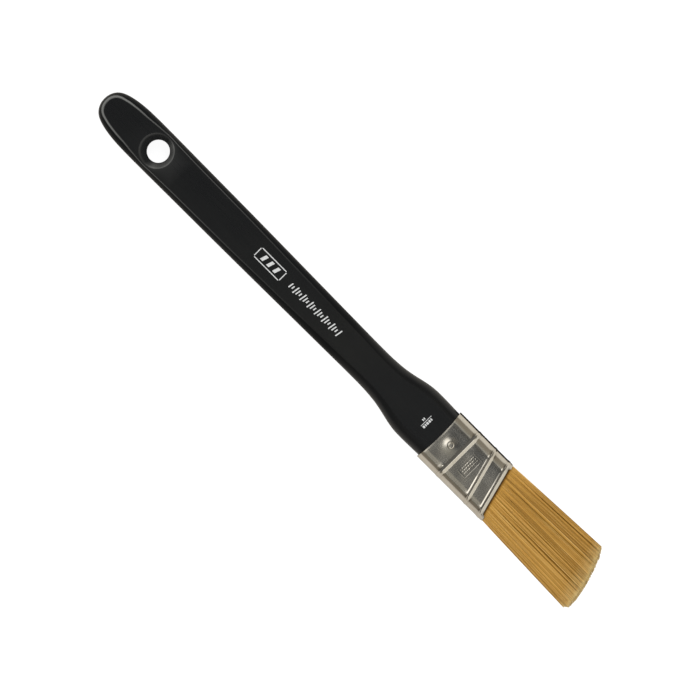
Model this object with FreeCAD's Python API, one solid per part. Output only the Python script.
import FreeCAD, Part
import math
import os

# One-inch angled sash paint brush: flat wooden beavertail handle, plated ferrule
# with three beads and an angled mouth, two filament layers set in resin round a
# wooden plug.
#
# Frame, millimetres: origin at the centre of the hang hole, half way through the
# handle's thickness. +X runs along the brush towards the filament tips, +Z out of
# the front face, +Y towards the brush's short edge (the side where the angled
# mouth and tips are nearest the handle).

Vector = FreeCAD.Vector
origin = Vector(0, 0, 0)
z_axis = Vector(0, 0, 1)

# ---------------------------------------------------------------------------
# Shared dimensions
# ---------------------------------------------------------------------------
fit_gap = 0.05                 # between pieces that are glued or pressed home

# ferrule
ferrule_half_w = 13.0          # outside
ferrule_half_t = 5.25          # outside, on the flats
sheet_t = 0.40
bore_inset = sheet_t + fit_gap  # from the ferrule's outside to what fills it
ferrule_in_x = 168.65          # handle end, at mid width
ferrule_bow_r = 105.0          # that end is bowed on this radius
mouth_x = 202.45               # filament end, at mid width
mouth_slope = -0.2305          # dx/dy of the angled mouth

# beads: x at mid width, half base width
beads = [(179.85, 1.20), (192.60, 1.12), (200.55, 1.08)]
bead_h_flat = 0.56             # height on the flats
bead_h_side = 0.13             # height on the narrow sides
bead_power = 1.6               # shapes the bead's section and its fade to the sides
middle_bead_slope = -0.268     # dx/dy
mouth_bead_slope = -0.2426     # dx/dy
# how the ferrule's sections lean: station x, dx/dy
slope_keys = [(183.0, 0.0), (190.4, middle_bead_slope), (194.8, middle_bead_slope),
              (198.6, mouth_bead_slope), (201.4, mouth_bead_slope),
              (mouth_x, mouth_slope)]

# nails, one through each flat into the tenon
nail_x, nail_y = 174.4, 0.3
nail_shank_r, nail_len = 0.60, 4.3
dimple_r, dimple_d = 2.3, 0.22
dimple_ball_r = (dimple_r ** 2 + dimple_d ** 2) / (2 * dimple_d)
seat_z = ferrule_half_t - dimple_d     # bottom of the dimple

# handle's tenon, inside the ferrule
tenon_half_w = ferrule_half_w - bore_inset
tenon_half_t = ferrule_half_t - bore_inset
tenon_end_x = 178.6

# filament butts, inside the ferrule
butt_x = 184.5
heel_half_w, heel_half_t = 12.30, 4.50

# directions of the mouth in plan
mouth_len = math.hypot(1.0, mouth_slope)
along = Vector(mouth_slope / mouth_len, 1.0 / mouth_len, 0)      # towards +Y
outward = Vector(1.0 / mouth_len, -mouth_slope / mouth_len, 0)   # towards the tips


# ---------------------------------------------------------------------------
# Helpers
# ---------------------------------------------------------------------------
def interpolate(table, x, ease):
    """Value at x, held past both ends; ease reshapes the 0 to 1 fraction."""
    if x <= table[0][0]:
        return table[0][1]
    for (x_a, value_a), (x_b, value_b) in zip(table, table[1:]):
        if x <= x_b:
            return value_a + (value_b - value_a) * ease((x - x_a) / (x_b - x_a))
    return table[-1][1]


def straight_between(table, x):
    return interpolate(table, x, lambda part: part)


def smooth_between(table, x):
    """Half way between a straight line and a smooth step."""
    return interpolate(table, x,
                       lambda part: part * part * (3 - 2 * part) * 0.5 + part * 0.5)


def halfspace(point, normal, size=400.0):
    """A block filling the side of a plane that its normal points to."""
    block = Part.makeBox(size, size, size, Vector(-size / 2, -size / 2, 0))
    block.Placement = FreeCAD.Placement(point, FreeCAD.Rotation(z_axis, normal))
    return block


def revolved(edges):
    """Solid turned about Z from a closed profile in the XZ plane."""
    return Part.Face(Part.Wire(edges)).revolve(origin, z_axis, 360)


def closed_solid(faces):
    shell = Part.makeShell(faces)
    shell.sewShape()
    solid = Part.makeSolid(shell)
    if solid.Volume < 0:
        solid.reverse()
    return solid


def write(name, shape):
    solids = shape.Solids
    if len(solids) == 1:
        shape = solids[0]
    assert solids and shape.isValid(), name
    shape.exportStep(os.path.join("parts", name + ".step"))


# ---------------------------------------------------------------------------
# Closed tubular skins: rings of poles on stadium sections
# ---------------------------------------------------------------------------
arc_steps, flat_steps = 22, 9


def no_rise(sine):
    return 0.0


def ring(station, slope, half_w, half_t, y_mid=0.0, rise=no_rise):
    """Poles round one stadium. rise(sine) lifts the skin; sine is 0 on the
    narrow sides and 1 on the flats."""
    points = []
    straight = half_w - half_t
    # +Y round end and bottom flat, then -Y round end and top flat
    for side in (1, -1):
        for i in range(arc_steps + 1):
            angle = side * math.pi / 2 - math.pi * i / arc_steps
            radius = half_t + rise(abs(math.sin(angle)))
            points.append((side * straight + radius * math.cos(angle),
                           radius * math.sin(angle)))
        for i in range(1, flat_steps):
            points.append((side * (straight - 2 * straight * i / flat_steps),
                           -side * (half_t + rise(1.0))))
    return [Vector(station + slope * (y + y_mid), y + y_mid, z) for y, z in points]


def skin(rings):
    """Solid inside a stack of rings: cubic along, cubic periodic round."""
    n_along, n_round = len(rings), len(rings[0])
    poles = [[one[i] for one in rings] for i in range(n_round)]
    surface = Part.BSplineSurface()
    surface.buildFromPolesMultsKnots(
        poles, [1] * (n_round + 1), [4] + [1] * (n_along - 4) + [4],
        list(range(n_round + 1)), list(range(n_along - 2)), True, False, 3, 3)
    side = surface.toShape()
    ends = [Part.Face(Part.Wire([edge])) for edge in side.Edges
            if edge.isClosed() and not edge.isSeam(side)]
    return closed_solid([side] + ends)


def bead_rise(x):
    """Height of the sheet at one ring, as a function of the side angle's sine."""
    crest = 0.0
    for bead_x, half_base in beads:
        distance = abs(x - bead_x)
        if distance < half_base:
            wave = math.cos(math.pi * distance / (2 * half_base))
            crest = max(crest, wave ** bead_power)

    def rise(sine):
        return crest * (bead_h_side + (bead_h_flat - bead_h_side) * sine ** bead_power)
    return rise


def station_list(x_start, x_end):
    """Stations along the ferrule, closer together at the beads."""
    stations = [x_start]
    x = x_start
    while x < x_end - 1e-6:
        nearest = min(abs(x - bead_x) for bead_x, _ in beads)
        step = 0.17 if nearest < 1.45 else (0.35 if nearest < 2.3 else 0.8)
        x = min(x + step, x_end)
        stations.append(x)
    if stations[-1] - stations[-2] < 0.05:
        stations.pop(-2)
    return stations


def tube(offset, x_start, x_end):
    """The ferrule's surface moved inwards by offset, between two stations."""
    return skin([ring(x, straight_between(slope_keys, x), ferrule_half_w - offset,
                      ferrule_half_t - offset, rise=bead_rise(x))
                 for x in station_list(x_start, x_end)])


# ---------------------------------------------------------------------------
# Cutters shared by ferrule and handle
# ---------------------------------------------------------------------------
def bow_cylinder(radius_shift, height):
    """Block on the handle's side of the bowed joint line."""
    return Part.makeCylinder(ferrule_bow_r + radius_shift, height,
                             Vector(ferrule_in_x - ferrule_bow_r, 0, -height / 2))


def dimple_ball(sign, grow):
    """Ball that sinks the dimple, on the front (sign 1) or the back (-1)."""
    return Part.makeSphere(dimple_ball_r + grow,
                           Vector(nail_x, nail_y, sign * (seat_z + dimple_ball_r)),
                           z_axis, -90, 90, 360)


def nail_rod(radius, sign, near, far):
    """Cylinder on a nail's axis, between two distances from mid thickness."""
    return Part.makeCylinder(radius, far - near,
                             Vector(nail_x, nail_y, near if sign > 0 else -far))


# ---------------------------------------------------------------------------
# Ferrule
# ---------------------------------------------------------------------------
raw_x = 166.0                  # raw handle end, before it is cut to the bow
bore_raw_x = 164.0
bore_past_mouth = 3.0
bump_r = 3.6                   # sheet pushed in behind a dimple
bump_z0, bump_z1, bump_top_z = 4.0, 5.6, 5.2
bump_slab_w = 20.0
nail_hole_clearance = 0.05
# lap seam of the rolled sheet, a groove along the +Y narrow side
seam_len, seam_box_w, seam_w = 42.0, 2.0, 0.20
seam_inset, seam_z = 0.40, 1.45


def make_ferrule():
    outer = tube(0.0, raw_x, mouth_x)
    inner = tube(sheet_t, bore_raw_x, mouth_x + bore_past_mouth)
    ferrule = outer.cut(inner)
    ferrule = ferrule.cut(bow_cylinder(fit_gap, 60.0))

    # dimples where the nails are driven, the sheet pushed in without thinning
    for sign in (1, -1):
        bump = dimple_ball(sign, sheet_t).common(nail_rod(bump_r, sign, bump_z0, bump_z1))
        slab = Part.makeBox(
            bump_slab_w, bump_slab_w, bump_top_z - bump_z0,
            Vector(nail_x - bump_slab_w / 2, nail_y - bump_slab_w / 2,
                   bump_z0 if sign > 0 else -bump_top_z))
        bump = bump.common(slab)
        ferrule = ferrule.fuse(bump).cut(dimple_ball(sign, 0.0))
        ferrule = ferrule.cut(nail_rod(nail_shank_r + nail_hole_clearance, sign, 2.5, 6.5))

    seam = Part.makeBox(seam_len, seam_box_w, seam_w,
                        Vector(raw_x, ferrule_half_w - seam_inset, seam_z))
    return ferrule.cut(seam).removeSplitter()


# ---------------------------------------------------------------------------
# Handle
# ---------------------------------------------------------------------------
handle_half_t = 5.0            # both broad faces are flat
nose_x = -31.25
# outline of the exposed handle: station x, half width
outline = [
    (-31.00, 2.20), (-30.16, 4.28), (-28.80, 6.02), (-26.80, 7.36), (-24.00, 8.38),
    (-20.10, 9.20), (-15.90, 9.68), (-11.00, 9.90), (-4.00, 9.96), (5.00, 9.92),
    (16.00, 9.84), (30.00, 9.76), (47.00, 9.65), (64.00, 9.49), (81.00, 9.29),
    (97.50, 9.10), (112.00, 8.94), (121.00, 8.84), (127.00, 8.83), (131.50, 8.91),
    (135.30, 9.13), (138.70, 9.48), (142.00, 10.04), (145.40, 10.79), (148.80, 11.57),
    (151.60, 12.06), (154.30, 12.31), (157.20, 12.37), (161.00, 12.33), (165.00, 12.22),
    (169.60, 12.12)]
# how far the rounded edge reaches in from the outline: station x, inset
edge_inset = [
    (-31.3, 1.10), (-28.0, 1.55), (-25.0, 1.90), (-13.0, 2.30), (0.0, 1.75),
    (18.0, 1.90), (45.0, 2.15), (80.0, 2.60), (114.0, 3.05), (135.0, 3.60),
    (153.0, 4.45), (170.0, 4.85)]
edge_steps = 320               # sections of the rounded edge round the outline

tenon_stations = (164.0, 168.0, 172.0, 176.0, tenon_end_x)
tenon_overlap = 0.6            # tenon reaches this far back into the body
nail_bore_z0 = 0.6             # the nail bores stop this far from mid thickness
nail_bore_extra = 0.6

# hang hole
hole_r = 5.0
hole_wall_half = 1.50          # half length of its straight wall
hole_mouth_r = 7.75            # where both mouths meet the broad faces
hole_edge_r = 1.20             # rounding there
hole_cone_tilt = math.radians(58.0)    # slope of the mouths' walls off the broad faces
hole_cutter_z = 12.0


def edge_surface():
    """Rounded edge that runs round the outline from the +Y side to the -Y side."""
    plan = Part.BSplineCurve()
    plan.interpolate([Vector(x, y, 0) for x, y in reversed(outline)]
                     + [Vector(nose_x, 0, 0)]
                     + [Vector(x, -y, 0) for x, y in outline])
    start = plan.FirstParameter
    length = plan.length(start, plan.LastParameter)
    rows, weights = [], []
    for i in range(edge_steps + 1):
        at = plan.parameterAtDistance(length * i / edge_steps, start)
        point = plan.value(at)
        tangent = plan.tangent(at)[0]
        normal = Vector(tangent.y, -tangent.x, 0)
        inset = smooth_between(edge_inset, point.x)
        # an arc across the thickness, as two rational halves
        radius = (handle_half_t ** 2 + inset ** 2) / (2 * inset)
        half = math.asin(handle_half_t / radius) / 2
        tangent_z = radius * math.tan(half)
        # poles: depth in from the outline, z
        section = ((inset, handle_half_t), (0, tangent_z), (0, 0),
                   (0, -tangent_z), (inset, -handle_half_t))
        rows.append([Vector(point.x - normal.x * depth, point.y - normal.y * depth, z)
                     for depth, z in section])
        weights.append([1.0, math.cos(half), 1.0, math.cos(half), 1.0])
    surface = Part.BSplineSurface()
    surface.buildFromPolesMultsKnots(
        rows, [4] + [1] * (edge_steps - 3) + [4], [3, 2, 3],
        list(range(edge_steps - 1)), [0, 1, 2], False, False, 3, 2, weights)
    return surface, rows


def flat_from(edge):
    first, last = edge.Vertexes[0].Point, edge.Vertexes[-1].Point
    return Part.Face(Part.Wire([edge, Part.makeLine(last, first)]))


def make_body():
    surface, rows = edge_surface()
    u_first, u_last, v_first, v_last = surface.bounds()
    top_face = flat_from(surface.vIso(v_first).toShape())
    bottom_face = flat_from(surface.vIso(v_last).toShape())
    # the raw end is not exactly planar where the outline tapers, so it is capped
    # by a filled face and then trimmed to the bowed shoulder
    end_cap = Part.makeFilledFace([
        surface.uIso(u_first).toShape(), Part.makeLine(rows[0][-1], rows[-1][-1]),
        surface.uIso(u_last).toShape(), Part.makeLine(rows[-1][0], rows[0][0])])
    body = closed_solid([surface.toShape(), top_face, bottom_face, end_cap])
    return body.common(bow_cylinder(0.0, 40.0))


def arc_point(centre, radius, angle):
    """Point on an arc in XZ; the angle turns from +Z towards -X."""
    return Vector(centre.x - radius * math.sin(angle), 0,
                  centre.z + radius * math.cos(angle))


def make_hole_cutter():
    """Straight wall, then at both ends a steep cone rounded into the broad face."""
    tilt = hole_cone_tilt
    edge_centre = Vector(hole_mouth_r, 0, handle_half_t - hole_edge_r)
    cone_top = arc_point(edge_centre, hole_edge_r, tilt)
    # the foot of the cone rounds into the wall, tangent to both
    foot_z = cone_top.z - (cone_top.x - hole_r) * math.tan(tilt)
    foot_r = (foot_z - hole_wall_half) / math.tan((math.pi / 2 - tilt) / 2)
    foot_centre = Vector(hole_r + foot_r, 0, hole_wall_half)
    foot_middle = arc_point(foot_centre, foot_r, (tilt + math.pi / 2) / 2)
    cone_foot = arc_point(foot_centre, foot_r, tilt)

    wall_middle = Vector(hole_r, 0, 0)
    wall_end = Vector(hole_r, 0, hole_wall_half)
    lip = Vector(hole_mouth_r, 0, handle_half_t)
    above_lip = Vector(hole_mouth_r, 0, hole_cutter_z)
    axis_top = Vector(0, 0, hole_cutter_z)
    upper = revolved([
        Part.makeLine(origin, wall_middle),
        Part.makeLine(wall_middle, wall_end),
        Part.Arc(wall_end, foot_middle, cone_foot).toShape(),
        Part.makeLine(cone_foot, cone_top),
        Part.Arc(cone_top, arc_point(edge_centre, hole_edge_r, tilt / 2), lip).toShape(),
        Part.makeLine(lip, above_lip),
        Part.makeLine(above_lip, axis_top),
        Part.makeLine(axis_top, origin)])
    lower = upper.mirror(origin, z_axis)
    return upper.fuse(lower).removeSplitter()


def make_handle():
    body = make_body()
    tenon = skin([ring(x, 0.0, tenon_half_w, tenon_half_t) for x in tenon_stations])
    tenon = tenon.cut(bow_cylinder(-tenon_overlap, 40.0))
    handle = body.fuse(tenon)
    handle = handle.cut(make_hole_cutter())
    for sign in (1, -1):
        handle = handle.cut(dimple_ball(sign, sheet_t + fit_gap))
        handle = handle.cut(nail_rod(nail_shank_r, sign, nail_bore_z0,
                                     nail_bore_z0 + nail_len + nail_bore_extra))
    return handle.removeSplitter()


# ---------------------------------------------------------------------------
# Nails: domed head seated in the dimple, pointed shank in the tenon
# ---------------------------------------------------------------------------
nail_head_r = 1.55
nail_dome_h = 0.55
nail_rim_h = 0.12              # straight rim under the dome
nail_point_len = 1.0
nail_clearance = 0.01          # round the shank and under the head
dome_middle_part = 0.62        # radius part at which the dome's middle point lies


def make_nail(sign):
    shank_r = nail_shank_r - nail_clearance
    # lower edge of the head clears the curve of the dimple
    rim_z = seat_z + nail_head_r ** 2 / (2 * dimple_ball_r) + nail_clearance
    dome_r = (nail_head_r ** 2 + nail_dome_h ** 2) / (2 * nail_dome_h)
    top_z = rim_z + nail_rim_h + nail_dome_h
    tip_z = seat_z - nail_len
    middle_x = nail_head_r * dome_middle_part

    top = Vector(0, 0, top_z)
    dome_middle = Vector(middle_x, 0,
                         top_z - dome_r + math.sqrt(dome_r ** 2 - middle_x ** 2))
    rim_top = Vector(nail_head_r, 0, rim_z + nail_rim_h)
    rim_bottom = Vector(nail_head_r, 0, rim_z)
    shank_top = Vector(shank_r, 0, rim_z)
    shank_bottom = Vector(shank_r, 0, tip_z + nail_point_len)
    tip = Vector(0, 0, tip_z)
    nail = revolved([
        Part.Arc(top, dome_middle, rim_top).toShape(),
        Part.makeLine(rim_top, rim_bottom),
        Part.makeLine(rim_bottom, shank_top),
        Part.makeLine(shank_top, shank_bottom),
        Part.makeLine(shank_bottom, tip),
        Part.makeLine(tip, top)])
    if sign < 0:
        nail.rotate(origin, Vector(1, 0, 0), 180)
    nail.translate(Vector(nail_x, nail_y, 0))
    return nail


# ---------------------------------------------------------------------------
# Spacer plug between the layers, a shallow wedge parallel to the mouth
# ---------------------------------------------------------------------------
plug_x0, plug_x1 = 184.6, 200.4
plug_half_w = 10.9
plug_half_t0, plug_half_t1 = 1.30, 0.80
plug_room_back = 2.0           # the room starts this far behind the plug
plug_room_gap0 = 0.12          # over the room's handle end


def wedge(half_w, ends):
    """Loft between two rectangles; ends holds x at mid width, half thickness."""
    sections = []
    for station, half_t in ends:
        corners = ((-half_w, -half_t), (half_w, -half_t), (half_w, half_t),
                   (-half_w, half_t), (-half_w, -half_t))
        sections.append(Part.makePolygon(
            [Vector(station + mouth_slope * y, y, z) for y, z in corners]))
    return Part.makeLoft(sections, True, True)


def make_plug():
    return wedge(plug_half_w, ((plug_x0, plug_half_t0), (plug_x1, plug_half_t1)))


def make_plug_room():
    return wedge(plug_half_w + fit_gap,
                 ((plug_x0 - plug_room_back, plug_half_t0 + plug_room_gap0),
                  (plug_x1 + fit_gap, plug_half_t1 + fit_gap)))


# ---------------------------------------------------------------------------
# Filaments: the whole bundle first, then its layers and the flexing split
# ---------------------------------------------------------------------------
# bundle inside the ferrule: station x, half width, half thickness
bundle_in_ferrule = [
    (butt_x, heel_half_w, heel_half_t), (188.0, heel_half_w, heel_half_t),
    (192.0, heel_half_w, heel_half_t), (195.0, heel_half_w, heel_half_t),
    (196.4, heel_half_w, heel_half_t),
    (197.6, heel_half_w + 0.08, heel_half_t + 0.12), (198.8, 12.52, 4.74),
    (200.4, 12.53, 4.76), (201.6, 12.53, 4.77), (mouth_x, 12.54, 4.78)]
# bundle outside the ferrule: distance from the mouth, half thickness
half_t_keys = [(0.0, 4.78), (6.0, 4.80), (14.0, 4.70), (24.0, 4.35), (34.0, 3.75),
               (43.0, 3.0), (50.0, 2.35), (53.3, 1.6)]
fan_steps = 22
fan_half_w0, fan_half_w1 = 12.55, 14.72
fan_shift_y = 0.45             # middle of the last section
fan_end_slope = -0.285         # dx/dy of the last section

tip_x = 255.7                  # filament tips at mid width
tip_trim = 2.5                 # the raw bundle runs on this far
# the row of tips is bowed about a centre well inside the tuft and turns the
# corner of the long edge on a small radius
tip_bow_r, tip_bow_x, tip_bow_y = 64.0, 193.8, -16.6
tip_corner_r, tip_corner_x, tip_corner_y = 2.35, 255.27, -11.85
tip_plan_x0, tip_plan_half_w = 150.0, 30.0
tip_plan_h = 60.0

# flexing of the filaments about a hinge line parallel to the mouth
pivot_out = 7.5                # hinge line, this far outside the mouth
hinge_gap = 0.12
heel_stop = 1.45               # the heel ends this far short of the hinge line
layer_gap = 0.03               # half the gap between the two layers
pivot = Vector(mouth_x, 0, 0) + outward * pivot_out
pivot_r = smooth_between(half_t_keys, pivot_out)


def on_bow(y):
    return Vector(tip_bow_x + math.sqrt(tip_bow_r ** 2 - (y - tip_bow_y) ** 2), y, 0)


def make_tip_trimmer():
    """Block whose +X side is the bowed row of tips."""
    diagonal = tip_corner_r * math.sqrt(0.5)
    corner_in = on_bow(tip_corner_y)
    corner_middle = Vector(tip_corner_x + diagonal, tip_corner_y - diagonal, 0)
    corner_out = Vector(tip_corner_x, tip_corner_y - tip_corner_r, 0)
    short_side = Vector(tip_plan_x0, tip_plan_half_w, 0)
    long_side = Vector(tip_plan_x0, -tip_plan_half_w, 0)
    bow_start = on_bow(tip_plan_half_w)
    plan = Part.Wire([
        Part.makeLine(short_side, bow_start),
        Part.Arc(bow_start, on_bow(10.0), corner_in).toShape(),
        Part.Arc(corner_in, corner_middle, corner_out).toShape(),
        Part.makeLine(corner_out, long_side),
        Part.makeLine(long_side, short_side)])
    trimmer = Part.Face(plan).extrude(Vector(0, 0, tip_plan_h))
    trimmer.translate(Vector(0, 0, -tip_plan_h / 2))
    return trimmer


def make_bundle():
    rings = [ring(x, mouth_slope, half_w, half_t)
             for x, half_w, half_t in bundle_in_ferrule]
    span = tip_x + tip_trim - mouth_x
    for i in range(1, fan_steps + 1):
        part = i / fan_steps
        distance = span * part
        rings.append(ring(mouth_x + distance,
                          mouth_slope + (fan_end_slope - mouth_slope) * part,
                          fan_half_w0 + (fan_half_w1 - fan_half_w0) * part,
                          smooth_between(half_t_keys, distance),
                          y_mid=fan_shift_y * part))
    return skin(rings).common(make_tip_trimmer())


def pivot_rod(radius):
    return Part.makeCylinder(radius, 80.0, pivot - along * 40.0, along)


def write_filaments():
    bundle = make_bundle()
    ahead = halfspace(pivot, outward)
    behind = halfspace(pivot - outward * heel_stop, outward * -1)
    tuft = bundle.common(ahead.fuse(pivot_rod(pivot_r)))
    heel = bundle.common(behind).cut(pivot_rod(pivot_r + hinge_gap))
    plug_room = make_plug_room()
    for side, sign in (("front", 1), ("back", -1)):
        layer = halfspace(Vector(0, 0, sign * layer_gap), Vector(0, 0, sign), 700.0)
        write(side + "_filament_heel", heel.cut(plug_room).common(layer))
        write(side + "_filament_tuft", tuft.common(layer))


# ---------------------------------------------------------------------------
# Resin: fills the ferrule behind the butts, wraps them and locks in two beads
# ---------------------------------------------------------------------------
resin_x0 = tenon_end_x + fit_gap
resin_x1 = 196.30              # at mid width, parallel to the mouth
resin_raw_x1 = 199.0           # before it is cut parallel to the mouth
pocket_gap = 0.03              # round the butts
pocket_end_gap = 0.04          # behind the butts


def make_resin():
    resin = tube(bore_inset, resin_x0, resin_raw_x1)
    resin = resin.cut(halfspace(Vector(resin_x1, 0, 0), outward))
    pocket = skin([ring(x, mouth_slope, heel_half_w + pocket_gap, heel_half_t + pocket_gap)
                   for x in (butt_x - pocket_end_gap, 188.0, 192.0, 196.0, 200.0)])
    return resin.cut(pocket)


os.makedirs("parts", exist_ok=True)
write("ferrule", make_ferrule())
write("handle", make_handle())
write("front_nail", make_nail(1))
write("back_nail", make_nail(-1))
write("spacer_plug", make_plug())
write_filaments()
write("epoxy_setting", make_resin())
